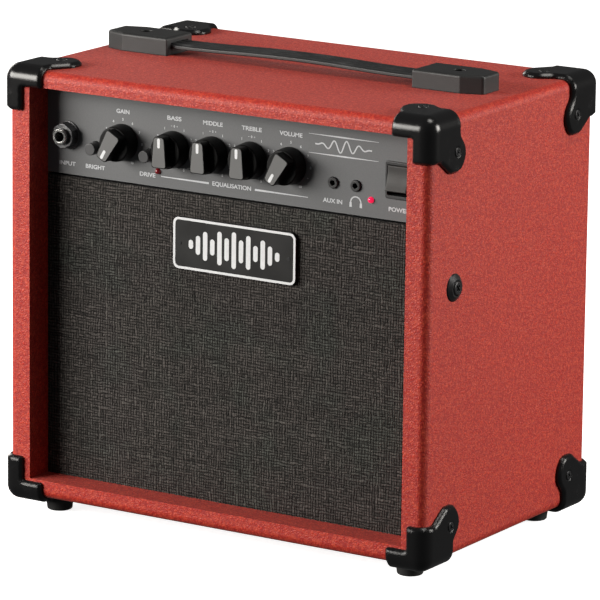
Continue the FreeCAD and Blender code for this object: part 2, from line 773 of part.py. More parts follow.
def push_buttons():
    z = base + button_row
    body_y = panel_y + 4.5
    switches = []
    for name, x in button_x.items():
        cap = rod_y(button_r, x, z, panel_y - button_out, panel_y + 1.0)
        cap = cap.makeFillet(0.5, edges_on_plane(cap, "y", panel_y - button_out))
        stem = rod_y(1.8, x, z, panel_y, panel_y + button_stem)
        save("button_" + name, fuse([cap, stem]))
        switch = box(x - 5, x + 5, body_y, pcb_y, z - 5, z + 5)
        stem_way = rod_y(1.85, x, z, body_y - 1, panel_y + button_stem + button_travel + 0.6)
        switches.append(switch.cut(stem_way))
    save("push_switches", group(switches))


def input_jack():
    z = base + knob_row
    back = chassis_y + chassis_t
    bush = rod_y(jack_thread_r, jack_x, z, panel_y - jack_out, back)
    ring = turned([(0, 0), (4.9, 0), (5.3, 0.5), (5.3, 1.6), (0, 1.6)], jack_x, z, panel_y - jack_out)
    bush = fuse([bush, ring]).cut(rod_y(jack_r, jack_x, z, panel_y - 12, back + 1))
    mouth = [e for e in bush.Edges if e.Closed and abs(e.BoundBox.YMin - (panel_y - jack_out)) < 1e-4
             and e.BoundBox.XLength < 2 * jack_r + 0.1]
    save("input_jack_bush", bush.makeChamfer(0.35, mouth))
    nut = hex_nut(jack_x, z, 15.4, panel_y - 7.0, panel_y - 1.2, jack_thread_r + 0.02)
    nut = nut.common(turned([(0, 0), (7.9, 0), (9.0, 1.0), (9.0, 5.8), (0, 5.8)], jack_x, z, panel_y - 7.0))
    washer = rod_y(9.3, jack_x, z, panel_y - 1.2, panel_y)
    washer = washer.makeFillet(0.4, edges_on_plane(washer, "y", panel_y - 1.2))
    washer = washer.cut(rod_y(jack_thread_r + 0.02, jack_x, z, panel_y - 2, panel_y + 1))
    save("input_jack_nut", group([nut, washer]))
    body = box(jack_x - 8.5, jack_x + 8.5, back, back + 26.0, z - 8.0, z + 8.0)
    body = body.makeFillet(1.0, [e for e in body.Edges if e.BoundBox.YLength > 20])
    save("input_jack_body", body.cut(rod_y(jack_r, jack_x, z, back - 1, back + 23.0)))


def mini_jacks():
    z = base + mini_jack_row
    back = chassis_y + chassis_t
    jacks = []
    for x in mini_jack_x:
        ring = turned([(0, 0), (3.3, 0), (3.8, 0.5), (3.8, 1.5), (0, 1.5)], x, z, panel_y - 1.5)
        sleeve = rod_y(3.0, x, z, panel_y - 0.5, back + 1)
        body = box(x - 4.5, x + 4.5, back, pcb_y, z - 4.0, z + 4.0)
        jack = fuse([ring, sleeve, body])
        jacks.append(jack.cut(rod_y(mini_jack_r, x, z, panel_y - 3, pcb_y - 1.5)))
    save("mini_jacks", group(jacks))


def leds():
    for name, (x, z) in led_places.items():
        z = base + z
        dome = Part.makeSphere(led_r, Vector(x, panel_y - 0.2, z))
        barrel = rod_y(led_r, x, z, panel_y - 0.2, panel_y + 5.0)
        legs = [box(x + dx - 0.25, x + dx + 0.25, panel_y + 4.5, pcb_y, z - 0.25, z + 0.25)
                for dx in (-1.27, 1.27)]
        save("led_" + name, fuse([dome, barrel] + legs))


def rocker():
    z = base + rocker_z
    half_x, half_z = rocker_half
    open_x = half_x + 0.35
    open_z = half_z + 1.6
    bezel = rounded_plate(rocker_x, z, 19.2, 24.0, 1.5, panel_y - 1.6, panel_y)
    bezel = bezel.makeFillet(0.5, edges_on_plane(bezel, "y", panel_y - 1.6))
    body = box(rocker_x - 8.8, rocker_x + 8.8, panel_y - 0.5, panel_y + 16.0, z - 11.0, z + 11.0)
    housing = fuse([bezel, body])
    cavity = box(rocker_x - open_x, rocker_x + open_x, panel_y - 3, panel_y + 12.0, z - open_z, z + open_z)
    housing = housing.cut(cavity)
    pivot_y = panel_y + 3.5

    def on_pivot(r, start, end):
        return [rod(r, (rocker_x + sx * start, pivot_y, z), (rocker_x + sx * end, pivot_y, z)) for sx in (-1, 1)]

    pins = on_pivot(1.5, half_x - 0.5, half_x + 0.9)
    sockets = on_pivot(1.55, 0.0, half_x + 1.0)
    save("rocker_housing", housing.cut(group(sockets)))
    save("power_rocker", rocker_cap(z, pivot_y, half_x, half_z, pins))


def rocker_cap(z, pivot_y, half_x, half_z, pins):
    """The rocker drawn level, with its shallow V face, then tipped to on: its top pressed in."""
    slope = math.tan(math.radians(rocker_tilt))
    crest = panel_y - 2.0
    tips = crest - half_z * slope
    face = [(tips, half_z), (crest, 0), (tips, -half_z), (pivot_y + 1, -half_z),
            (pivot_y + 5.5, -3.0), (pivot_y + 5.5, 3.0), (pivot_y + 1, half_z)]
    loop = [Vector(rocker_x - half_x, y, z + dz) for y, dz in face]
    cap = Part.Face(Part.makePolygon(loop + loop[:1])).extrude(Vector(2 * half_x, 0, 0))
    fold = [e for e in cap.Edges if e.BoundBox.ZLength < 1e-4 and abs(e.BoundBox.YMin - crest) < 1e-4
            and e.BoundBox.YLength < 1e-4 and e.BoundBox.XLength > 1]
    cap = cap.makeFillet(rocker_hollow_r, fold)
    crown = [e for e in cap.Edges if e.BoundBox.YMax < crest + 0.01 and e.BoundBox.ZLength > 1]
    crown += [e for e in cap.Edges if abs(e.BoundBox.YMax - tips) < 1e-4 and e.BoundBox.ZLength < 1e-4]
    cap = cap.makeFillet(0.5, crown)
    cap = fuse([cap] + pins)
    cap.rotate(Vector(0, pivot_y, z), Vector(1, 0, 0), -rocker_tilt)
    return cap


# ---------------------------------------------------------------- electronics

def circuit_board():
    board = box(-114, 114, pcb_y, pcb_y + pcb_t, base + 221.5, base + 268)
    corners = [(x, z) for x in (-110, 110) for z in (base + 225.5, base + 264)]
    save("circuit_board", board.cut(group([rod_y(1.6, x, z, pcb_y - 1, pcb_y + 3) for x, z in corners])))


def capacitors():
    y = pcb_y + pcb_t
    cans = []
    for x, z, r, length in ((-96, 250, 4.0, 12.0), (-70, 252, 3.2, 11.0), (-40, 250, 4.0, 12.0),
                            (-8, 234, 2.6, 9.0), (20, 252, 3.2, 11.0), (52, 246, 8.0, 25.0),
                            (72, 246, 8.0, 25.0), (98, 248, 5.0, 16.0)):
        can = rod_y(r, x, base + z, y, y + length)
        cans.append(can.makeFillet(0.5, edges_on_plane(can, "y", y + length)))
    save("capacitors", group(cans))


def heat_sink():
    low = chassis_floor + chassis_t
    y = chassis_y + 52.0
    plates = [box(-62, -2, y, y + 4, low, low + 34)]
    for i in range(9):
        x = -62 + i * 7.25
        plates.append(box(x, x + 2, y + 3, y + 22, low, low + 34))
    save("heat_sink", fuse(plates))


def transformer():
    low = chassis_floor + chassis_t
    x0 = 66.0
    y0 = chassis_y + 48.0
    core = box(x0, x0 + 50, y0, y0 + 24, low, low + 42)
    windows = [box(x0 + 8.5, x0 + 17, y0 - 1, y0 + 25, low + 8.5, low + 33.5),
               box(x0 + 33, x0 + 41.5, y0 - 1, y0 + 25, low + 8.5, low + 33.5)]
    save("transformer_core", core.cut(group(windows)))
    coil = box(x0 + 9, x0 + 41, y0 - 8, y0 + 32, low + 9, low + 33)
    coil = coil.makeFillet(5.0, [e for e in coil.Edges if e.BoundBox.ZLength > 20])
    coil = coil.cut(box(x0 + 17, x0 + 33, y0 - 0.2, y0 + 24.2, low + 8, low + 34))
    save("transformer_coil", coil)


# ---------------------------------------------------------------- speakers

def speaker(name, x):
    z = base + speaker_z
    y0 = baffle_back
    basket = turned([(speaker_hole_r, 0), (speaker_flange_r, 0), (speaker_flange_r, speaker_rim_t),
                     (57.6, speaker_rim_t), (35.0, 29.5), (35.0, 31.0), (15.0, 31.0), (15.0, 29.8),
                     (33.4, 29.8), (35.4, 27.3), (32.5, 27.3), (32.5, 26.5), (36.1, 26.5),
                     (speaker_hole_r, speaker_rim_t)], x, z, y0)
    windows = []
    for i in range(4):
        window = box(x - 17, x + 17, y0 + 5.0, y0 + 20.5, z + 30, z + 66)
        window.rotate(Vector(x, 0, z), Vector(0, 1, 0), 90 * i + 45)
        windows.append(window)
    basket = basket.cut(group(windows))
    holes = [rod_y(1.6, px, pz, y0 - 1, y0 + 3) for px, pz in speaker_screw_places()]
    basket = basket.cut(group(holes))
    magnet = turned([(16.0, 36.0), (35.0, 36.0), (35.0, 48.0), (16.0, 48.0)], x, z, y0)
    plate = turned([(coil_r + 1.1, 31.0), (33.0, 31.0), (33.0, 36.0), (coil_r + 1.1, 36.0)], x, z, y0)
    yoke = turned([(0, 31.5), (12.2, 31.5), (12.2, 48.0), (33.0, 48.0), (33.0, 53.0), (0, 53.0)], x, z, y0)
    cone = turned([(48.0, 0.6), (48.0, 1.4), (coil_r + 0.5, 24.8), (coil_r + 0.5, 38.0), (coil_r, 38.0),
                   (coil_r, 23.7), (47.2, 0.6)], x, z, y0)
    centre = Vector(x, y0 + 46.5, z)
    dust_cap = Part.makeSphere(34.0, centre).cut(Part.makeSphere(33.2, centre))
    dust_cap = dust_cap.common(rod_y(19.8, x, z, y0, y0 + 22.0))
    save("cone_" + name, fuse([cone, dust_cap]))
    surround = surround_ring(x, z, y0)
    spider = turned([(coil_r + 0.6, 25.2), (18, 25.9), (22, 25.1), (26, 25.9), (30, 25.1), (33.0, 26.0),
                     (36.0, 26.0), (36.0, 26.4), (33.0, 26.4), (30, 25.5), (26, 26.3), (22, 25.5), (18, 26.3),
                     (coil_r + 0.6, 25.6)], x, z, y0)
    save("suspension_" + name, group([surround, spider]))
    return basket, magnet, [plate, yoke]


def surround_ring(x, z, y0):
    """The half-round rubber roll between the cone's rim and the basket."""
    inner, outer, thick = 48.1, 55.9, 0.6
    middle = (inner + outer) / 2
    centre = Vector(x, y0 + 0.6, z)
    big = Part.makeTorus(middle, (outer - inner) / 2, centre, Vector(0, 1, 0))
    small = Part.makeTorus(middle, (outer - inner) / 2 - thick, centre, Vector(0, 1, 0))
    return big.cut(small).common(rod_y(70, x, z, y0 - 4, y0 + 0.6))


def speakers():
    baskets = []
    magnets = []
    yokes = []
    for name, sx in (("left", -1), ("right", 1)):
        basket, magnet, steel = speaker(name, sx * speaker_x)
        baskets.append(basket)
        magnets.append(magnet)
        yokes += steel
    save("speaker_baskets", group(baskets))
    save("speaker_magnets", group(magnets))
    save("speaker_yokes", group(yokes))


def main():
    os.makedirs("parts", exist_ok=True)
    boards()
    vinyl_cover()
    rear_battens()
    corner_protectors()
    corner_screws()
    cabinet_bolts()
    rubber_feet()
    handle()
    baffle_board()
    grille_cloth()
    badge()
    rear_board()
    inlet()
    wood_screws()
    control_panel()
    chassis_tray()
    pots()
    push_buttons()
    input_jack()
    mini_jacks()
    leds()
    rocker()
    circuit_board()
    capacitors()
    heat_sink()
    transformer()
    speakers()


main()
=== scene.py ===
import json
import math

import bmesh
import bpy
from mathutils import Matrix, Vector


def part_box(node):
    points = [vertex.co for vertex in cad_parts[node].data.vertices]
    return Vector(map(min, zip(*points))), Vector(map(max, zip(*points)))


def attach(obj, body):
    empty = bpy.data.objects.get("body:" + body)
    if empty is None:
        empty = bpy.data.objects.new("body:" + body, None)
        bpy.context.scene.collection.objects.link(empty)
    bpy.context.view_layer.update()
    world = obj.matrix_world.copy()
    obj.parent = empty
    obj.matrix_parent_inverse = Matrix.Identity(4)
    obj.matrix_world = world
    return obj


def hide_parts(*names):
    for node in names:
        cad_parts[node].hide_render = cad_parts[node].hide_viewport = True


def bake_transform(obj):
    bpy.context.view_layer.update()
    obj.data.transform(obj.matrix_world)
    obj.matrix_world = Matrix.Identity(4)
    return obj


# A small guitar combo amplifier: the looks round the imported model. Metres, in the model's frame.

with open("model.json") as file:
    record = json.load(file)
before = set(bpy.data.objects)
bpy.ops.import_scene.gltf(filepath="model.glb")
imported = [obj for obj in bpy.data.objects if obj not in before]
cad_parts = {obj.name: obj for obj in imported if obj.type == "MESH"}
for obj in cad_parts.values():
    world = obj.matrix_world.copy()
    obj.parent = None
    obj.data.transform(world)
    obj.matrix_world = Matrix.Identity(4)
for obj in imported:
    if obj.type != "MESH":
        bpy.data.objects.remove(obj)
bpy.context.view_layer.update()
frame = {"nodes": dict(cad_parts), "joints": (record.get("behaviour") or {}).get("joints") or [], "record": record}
nodes = frame["nodes"]
joint_at = {j["name"]: j.get("pos_m") for j in frame["joints"]}
MM = 0.001

panel_low, panel_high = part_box("control_panel")
cabinet_low, cabinet_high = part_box("vinyl_cover")
panel_y = panel_low.y
base = cabinet_low.z


# ---------------------------------------------------------------- materials

class Graph:
    """A material with one Principled shader, and short ways to add nodes in front of it."""

    def __init__(self, name, colour, roughness, metallic=0.0, **sockets):
        self.material = bpy.data.materials.new(name)
        self.material.use_nodes = True
        self.tree = self.material.node_tree
        self.shader = self.tree.nodes["Principled BSDF"]
        self.shader.inputs["Base Color"].default_value = (*colour, 1)
        self.shader.inputs["Roughness"].default_value = roughness
        self.shader.inputs["Metallic"].default_value = metallic
        for key, value in sockets.items():
            self.shader.inputs[key.replace("_", " ")].default_value = value
        self.where = self.node("ShaderNodeTexCoord").outputs["Object"]

    def node(self, kind, inputs=None, **settings):
        made = self.tree.nodes.new(kind)
        for key, value in settings.items():
            setattr(made, key, value)
        for key, value in (inputs or {}).items():
            if isinstance(value, bpy.types.NodeSocket):
                self.tree.links.new(value, made.inputs[key])
            else:
                made.inputs[key].default_value = value
        return made

    def math(self, operation, a, b=0.0):
        return self.node("ShaderNodeMath", {0: a, 1: b}, operation=operation).outputs[0]

    def noise(self, scale, detail=2.0, roughness=0.5, where=None):
        made = self.node("ShaderNodeTexNoise", {"Vector": where or self.where, "Scale": scale,
                                                "Detail": detail, "Roughness": roughness})
        return made.outputs["Fac"]

    def stretched(self, x, y, z):
        made = self.node("ShaderNodeMapping", {"Vector": self.where, "Scale": (x, y, z)})
        return made.outputs[0]

    def voronoi(self, scale, feature="F1", where=None, **settings):
        made = self.node("ShaderNodeTexVoronoi", {"Vector": where or self.where, "Scale": scale},
                         feature=feature)
        for key, value in settings.items():
            made.inputs[key].default_value = value
        return made.outputs["Distance"]

    def spread(self, value, low, high, to_low=0.0, to_high=1.0, kind="LINEAR"):
        made = self.node("ShaderNodeMapRange", {"Value": value, "From Min": low, "From Max": high,
                                                "To Min": to_low, "To Max": to_high}, interpolation_type=kind)
        return made.outputs["Result"]

    def mix(self, share, a, b):
        made = self.node("ShaderNodeMix", data_type="RGBA")
        for socket, value in ((made.inputs[0], share), (made.inputs[6], a), (made.inputs[7], b)):
            if isinstance(value, bpy.types.NodeSocket):
                self.tree.links.new(value, socket)
            else:
                socket.default_value = (*value, 1) if isinstance(value, tuple) else value
        return made.outputs[2]

    def axes(self):
        return self.node("ShaderNodeSeparateXYZ", {0: self.where}).outputs

    def colour(self, value):
        self.tree.links.new(value, self.shader.inputs["Base Color"])

    def rough(self, value):
        self.tree.links.new(value, self.shader.inputs["Roughness"])

    def bump(self, height, distance, strength=1.0, soft_edges=0.0):
        inputs = {"Height": height, "Distance": distance, "Strength": strength}
        if soft_edges:
            inputs["Normal"] = self.node("ShaderNodeBevel", {"Radius": soft_edges}, samples=6).outputs[0]
        made = self.node("ShaderNodeBump", inputs)
        self.tree.links.new(made.outputs[0], self.shader.inputs["Normal"])


def vinyl():
    """Grained leathercloth: low pebbles with creases between them, with painted shade that darkens the creases and
    painted highlight specks on the grain.
    """
    g = Graph("red_leathercloth", (0.5, 0.013, 0.008), 0.5, Specular_IOR_Level=0.5, Sheen_Weight=0.04,
              Sheen_Roughness=0.5)
    bent = g.node("ShaderNodeVectorMath", {0: g.where, 1: scaled_colour(g, 330.0, 0.0016)}, operation="ADD")
    creases = g.voronoi(560, "DISTANCE_TO_EDGE", bent.outputs[0])
    pebble = g.spread(creases, 0.0, 0.40, kind="SMOOTHSTEP")
    height = g.math("ADD", pebble, g.math("MULTIPLY", g.noise(1500, 2.0), 0.6))
    height = g.math("ADD", height, g.math("MULTIPLY", g.noise(260, 2.0), 1.1))
    g.bump(height, 0.00022, 0.55)
    body = g.mix(g.spread(g.noise(14, 3.0), 0.3, 0.7), (0.47, 0.016, 0.005), (0.53, 0.022, 0.007))
    # painted shade: the colour goes darker down into the creases between the pebbles
    crease_shade = g.mix(g.spread(pebble, 0.0, 1.0, 0.0, 1.0), (0.30, 0.004, 0.001), body)
    # painted highlight: bright orange specks stand for small glints on the grain
    highlight_speck = g.spread(g.noise(430, 3.0, 0.65), 0.42, 0.74, 0.0, 0.55)
    g.colour(g.mix(highlight_speck, crease_shade, (0.74, 0.095, 0.035)))
    g.rough(g.spread(pebble, 0.0, 1.0, 0.62, 0.46))
    return g.material


def scaled_colour(g, scale, amount):
    """A noise colour, centred on zero, that shifts coordinates by up to amount."""
    colour = g.node("ShaderNodeTexNoise", {"Vector": g.where, "Scale": scale, "Detail": 1.0}).outputs["Color"]
    centred = g.node("ShaderNodeVectorMath", {0: colour, 1: (0.5, 0.5, 0.5)}, operation="SUBTRACT")
    made = g.node("ShaderNodeVectorMath", {0: centred.outputs[0]}, operation="SCALE")
    made.inputs["Scale"].default_value = amount * 2
    return made.outputs[0]


def gloss_plastic(name, colour, roughness=0.16, soft=0.0006, shine=0.5):
    """Moulded plastic with a slight orange peel and faint scuffs."""
    g = Graph(name, colour, roughness, Specular_IOR_Level=shine)
    peel = g.noise(420, 2.0)
    scuff = g.spread(g.noise(60, 6.0, 0.7), 0.55, 0.75)
    g.rough(g.math("ADD", roughness, g.math("MULTIPLY", scuff, 0.18)))
    g.colour(g.mix(g.noise(35, 3.0), colour, tuple(c * 1.7 for c in colour)))
    g.bump(peel, 0.00003, 0.5, soft)
    return g.material


def satin_plastic(name, colour, roughness=0.42, grain=1600, depth=0.00005, soft=0.0004, lift=1.5, shine=0.5):
    """Spark-eroded, finely grained plastic."""
    g = Graph(name, colour, roughness, Specular_IOR_Level=shine)
    fine = g.noise(grain, 3.0, 0.65)
    g.rough(g.spread(g.noise(45, 4.0), 0.3, 0.7, roughness - 0.05, roughness + 0.07))
    g.colour(g.mix(g.noise(30, 3.0), colour, tuple(c * lift for c in colour)))
    g.bump(fine, depth, 0.8, soft)
    return g.material


def rubber(name, colour, roughness=0.62):
    g = Graph(name, colour, roughness, Specular_IOR_Level=0.4)
    dust = g.spread(g.noise(70, 5.0, 0.6), 0.5, 0.8)
    g.colour(g.mix(dust, colour, tuple(c * 2.0 + 0.006 for c in colour)))
    g.rough(g.math("ADD", roughness, g.math("MULTIPLY", dust, 0.12)))
    g.bump(g.noise(1100, 3.0), 0.00006, 0.7, 0.0004)
    return g.material


def metal(name, colour, roughness, brushed=(1, 1, 1), depth=0.00001, metallic=1.0, soft=0.0002):
    g = Graph(name, colour, roughness, metallic)
    lines = g.noise(900, 3.0, 0.6, g.stretched(*brushed))
    g.rough(g.spread(lines, 0.3, 0.7, roughness * 0.8, roughness * 1.3))
    g.colour(g.mix(g.noise(50, 3.0), colour, tuple(c * 0.82 for c in colour)))
    g.bump(lines, depth, 0.5, soft)
    return g.material


def painted(name, colour, roughness=0.5, grain=1500, depth=0.00004, soft=0.0):
    g = Graph(name, colour, roughness, Specular_IOR_Level=0.5)
    fine = g.noise(grain, 2.0, 0.6)
    g.rough(g.spread(g.noise(25, 4.0), 0.3, 0.7, roughness - 0.05, roughness + 0.06))
    g.colour(g.mix(g.spread(fine, 0.35, 0.65), colour, tuple(c * 1.14 for c in colour)))
    g.bump(fine, depth, 0.7, soft)
    return g.material


def board(name, light, dark):
    """Bare chipboard or fibreboard."""
    g = Graph(name, light, 0.8, Specular_IOR_Level=0.25)
    chips = g.voronoi(280, "F1", g.stretched(1, 1, 2.2), Randomness=1.0)
    g.colour(g.mix(g.spread(chips, 0.1, 0.7), light, dark))
    g.bump(chips, 0.0002, 0.6)
    return g.material


def weave():
    """Coarse weave in black and grey yarn, with painted shade where a thread dips and painted light where it
    rises: a thread floats over one, two or three others, then dips.
    """
    g = Graph("grille_weave", (0.05, 0.05, 0.05), 0.85, Specular_IOR_Level=0.2)
    pitch = 1.0 / (1.95 * MM)
    x, _, z = g.axes()

    def across(place, slow, quick):
        drift = g.spread(g.noise(45, 2.0, 0.6, slow), 0, 1, -1.0, 1.0)
        shake = g.spread(g.noise(420, 2.0, 0.6, quick), 0, 1, -0.7, 0.7)
        return g.math("ADD", g.math("ADD", g.math("MULTIPLY", place, pitch), drift), shake)

    u = across(x, g.stretched(1, 1, 0.3), g.stretched(1, 1, 0.45))
    v = across(z, g.stretched(0.3, 1, 1), g.stretched(0.45, 1, 1))
    iu = g.math("FLOOR", u)
    iv = g.math("FLOOR", v)
    warp = g.math("SINE", g.math("MULTIPLY", g.math("SUBTRACT", u, iu), math.pi))
    weft = g.math("SINE", g.math("MULTIPLY", g.math("SUBTRACT", v, iv), math.pi))
    cell = g.node("ShaderNodeCombineXYZ", {0: iu, 1: iv}).outputs[0]
    chance = g.node("ShaderNodeTexWhiteNoise", {"Vector": cell}, noise_dimensions="2D").outputs["Value"]
    floats = g.math("GREATER_THAN", chance, 0.66)
    over = g.math("MODULO", g.math("ABSOLUTE", g.math("ADD", g.math("ADD", iu, iv), floats)), 2.0)
    under = g.math("SUBTRACT", 1.0, over)

    def yarn_height(thread, crossing, on_top):
        rise = g.math("ADD", 0.35, g.math("MULTIPLY", on_top, 0.65))
        bow = g.math("ADD", 0.6, g.math("MULTIPLY", crossing, 0.4))
        return g.math("MULTIPLY", g.math("MULTIPLY", g.math("POWER", thread, 0.8), rise), bow)

    warp_h = yarn_height(warp, weft, over)
    weft_h = yarn_height(weft, warp, under)
    height = g.math("MAXIMUM", warp_h, weft_h)

    def shade_of(index, along):
        each = g.node("ShaderNodeTexWhiteNoise", {"W": index}, noise_dimensions="1D").outputs["Value"]
        slub = g.spread(g.noise(230, 2.0, 0.6, along), 0.32, 0.68)
        return g.math("ADD", g.math("MULTIPLY", each, 0.3), g.math("MULTIPLY", slub, 0.7))

    yarn = g.node("ShaderNodeMix", {0: g.math("GREATER_THAN", warp_h, weft_h),
                                    2: shade_of(g.math("ADD", iv, 91.3), g.stretched(0.5, 1, 2.0)),
                                    3: shade_of(iu, g.stretched(2.0, 1, 0.5))}, data_type="FLOAT").outputs[0]
    # painted shade and light: the yarn colour darkens where it lies low and lightens where it rises
    lit = g.spread(height, 0.2, 0.95)
    tone = g.math("MULTIPLY", lit, g.spread(yarn, 0.0, 1.0, 0.12, 1.0))
    patch = g.mix(g.spread(g.noise(30, 3.0), 0.5, 0.68), (0.118, 0.106, 0.098), (0.103, 0.108, 0.096))
    g.colour(g.mix(tone, (0.006, 0.0055, 0.005), patch))
    g.bump(g.math("ADD", height, g.math("MULTIPLY", yarn, 0.3)), 0.0006, 0.9)
    return g.material


def paper_cone():
    g = Graph("black_pulp", (0.03, 0.03, 0.03), 0.9, Specular_IOR_Level=0.2)
    fibre = g.noise(800, 5.0, 0.7)
    g.colour(g.mix(fibre, (0.02, 0.02, 0.02), (0.06, 0.058, 0.055)))
    g.bump(fibre, 0.0001, 0.7)
    return g.material


def treated_cloth():
    g = Graph("treated_cloth", (0.05, 0.042, 0.035), 0.85, Specular_IOR_Level=0.2)
    threads = g.noise(1500, 2.0)
    g.colour(g.mix(threads, (0.03, 0.026, 0.022), (0.08, 0.068, 0.055)))
    g.bump(threads, 0.0001, 0.8)
    return g.material


def circuit_green():
    """Solder mask over tracks that run in straight lines."""
    g = Graph("circuit_green", (0.02, 0.13, 0.05), 0.35, Specular_IOR_Level=0.5)
    cells = g.node("ShaderNodeTexVoronoi", {"Vector": g.stretched(1, 0, 1), "Scale": 160.0},
                   distance="CHEBYCHEV").outputs["Distance"]
    tracks = g.spread(cells, 0.28, 0.36)
    g.colour(g.mix(tracks, (0.02, 0.12, 0.045), (0.05, 0.24, 0.09)))
    g.bump(tracks, 0.00006, 0.6)
    return g.material


def lens(name, colour, glow):
    g = Graph(name, colour, 0.12, Specular_IOR_Level=0.5, Coat_Weight=0.6)
    g.shader.inputs["Emission Color"].default_value = (*colour, 1)
    g.shader.inputs["Emission Strength"].default_value = glow
    g.bump(g.noise(500, 1.0), 0.00001, 0.3)
    return g.material


def ink(name, colour):
    """Screen-printed ink, not quite even."""
    g = Graph(name, colour, 0.5, Specular_IOR_Level=0.4)
    g.colour(g.mix(g.noise(700, 3.0), tuple(c * 0.82 for c in colour), colour))
    g.bump(g.noise(2500, 1.0), 0.00001, 0.4)
    return g.material


def jack_metal():
    """Bright plating with a fine thread along the bush."""
    g = Graph("bright_plating", (0.46, 0.46, 0.45), 0.2, 1.0)
    thread = g.math("SINE", g.math("MULTIPLY", g.axes()[1], 2 * math.pi / (0.8 * MM)))
    g.bump(thread, 0.00012, 0.35, 0.0002)
    g.rough(g.spread(g.noise(120, 3.0), 0.3, 0.7, 0.16, 0.28))
    return g.material


def tape():
    g = Graph("winding_tape", (0.62, 0.48, 0.09), 0.45)
    wraps = g.math("SINE", g.math("MULTIPLY", g.axes()[2], 2 * math.pi / (4 * MM)))
    g.colour(g.mix(g.spread(wraps, 0.8, 1.0), (0.62, 0.48, 0.09), (0.4, 0.3, 0.05)))
    g.bump(wraps, 0.0001, 0.5)
    return g.material


looks = {
    "red_vinyl": vinyl(),
    "board": board("chipboard", (0.50, 0.36, 0.22), (0.36, 0.24, 0.13)),
    "corner_plastic": gloss_plastic("corner_gloss", (0.005, 0.005, 0.0053), 0.2, 0.0024, 0.4),
    "black_steel": metal("blackened_steel", (0.035, 0.035, 0.037), 0.34, metallic=0.6),
    "rubber": rubber("foot_rubber", (0.014, 0.014, 0.014)),
    "handle_plastic": satin_plastic("handle_moulding", (0.016, 0.0165, 0.017), 0.44, 1300, 0.00007, 0.0009,
                                    shine=0.35),
    "handle_rubber": rubber("strap_rubber", (0.016, 0.0165, 0.0175), 0.45),
    "cloth": weave(),
    "badge_plastic": satin_plastic("badge_black", (0.009, 0.009, 0.009), 0.38, 1500, 0.00002, 0.0002,
                                   shine=0.3),
    "panel_paint": painted("panel_grey", (0.094, 0.0965, 0.101), 0.5, 1700, 0.00003),
    "chassis_steel": metal("zinc_plate", (0.55, 0.56, 0.57), 0.4, (1, 0.1, 1)),
    "knob_plastic": satin_plastic("knob_black", (0.004, 0.004, 0.0042), 0.46, 1500, 0.00003, 0.0005,
                                  shine=0.14),
    "bare_steel": metal("bright_steel", (0.5, 0.5, 0.51), 0.3, (1, 0.1, 1)),
    "button_plastic": satin_plastic("button_black", (0.030, 0.030, 0.032), 0.42, 1700, 0.00003, 0.0002),
    "switch_plastic": satin_plastic("switch_black", (0.012, 0.012, 0.013), 0.4, 1700, 0.00003, 0.0003),
    "rocker_plastic": satin_plastic("rocker_black", (0.026, 0.025, 0.024), 0.5, 1700, 0.00002, 0.0012,
                                    shine=0.3),
    "jack_chrome": jack_metal(),
    "dark_nickel": metal("black_nickel", (0.16, 0.16, 0.165), 0.3),
    "tin_pins": metal("nickel_pins", (0.62, 0.62, 0.6), 0.25, (1, 0.1, 1)),
    "red_lens_lit": lens("lamp_lit", (0.85, 0.012, 0.075), 0.85),
    # painted glow: this lamp is off, but its lens gives out a little light
    "red_lens": lens("lamp_off_painted_glow", (0.16, 0.006, 0.010), 0.2),
    "circuit": circuit_green(),
    "can_sleeve": gloss_plastic("can_sleeve", (0.02, 0.025, 0.07), 0.25),
    "raw_aluminium": metal("extrusion", (0.72, 0.72, 0.73), 0.32, (0.1, 1, 1)),
    "coil_tape": tape(),
    "basket_paint": painted("basket_black", (0.02, 0.02, 0.02), 0.4),
    "ferrite": painted("ferrite_grey", (0.07, 0.07, 0.075), 0.6, 900, 0.0001),
    "cone_paper": paper_cone(),
    "suspension_cloth": treated_cloth(),
}
white_ink = ink("white_ink", (0.58, 0.595, 0.62))
badge_white = ink("badge_white", (0.77, 0.78, 0.80))
# A grey for the pointer faces: a painted reflection of the light on the black knob plastic.
pointer_reflection_grey = satin_plastic("pointer_reflection_grey", (0.10, 0.10, 0.10), 0.44, 1500, 0.00003, 0.0, 1.15)

slots = {s["node"]: s["material_slot"] for s in frame["record"]["subparts"]}
for name, thing in nodes.items():
    thing.data.materials.clear()
    thing.data.materials.append(looks[slots[name]])
for name in ("baffle_board", "rear_board"):
    nodes[name].data.materials[0] = board("black_board_" + name, (0.012, 0.012, 0.012), (0.02, 0.02, 0.02))


# ---------------------------------------------------------------- helpers

def piece(name, mesh, material, body="cabinet", smooth=False):
    """An object for a mesh that is already in place, riding on a body."""
    made = bpy.data.objects.new(name, mesh)
    bpy.context.scene.collection.objects.link(made)
    mesh.materials.clear()
    mesh.materials.append(material)
    if smooth:
        mesh.polygons.foreach_set("use_smooth", [True] * len(mesh.polygons))
    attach(made, body)
    return made


def finish_mesh(bm, name):
    bmesh.ops.recalc_face_normals(bm, faces=bm.faces)
    mesh = bpy.data.meshes.new(name)
    bm.to_mesh(mesh)
    bm.free()
    return mesh


def stroke(bm, points, y, thickness):
    """A flat shape on a plane facing the front: points are (x, z), and it stands thickness proud of y."""
    front = [bm.verts.new((px, y - thickness, pz)) for px, pz in points]
    back = [bm.verts.new((px, y, pz)) for px, pz in points]
    bm.faces.new(front)
    for i in range(len(points)):
        j = (i + 1) % len(points)
        bm.faces.new((front[i], front[j], back[j], back[i]))


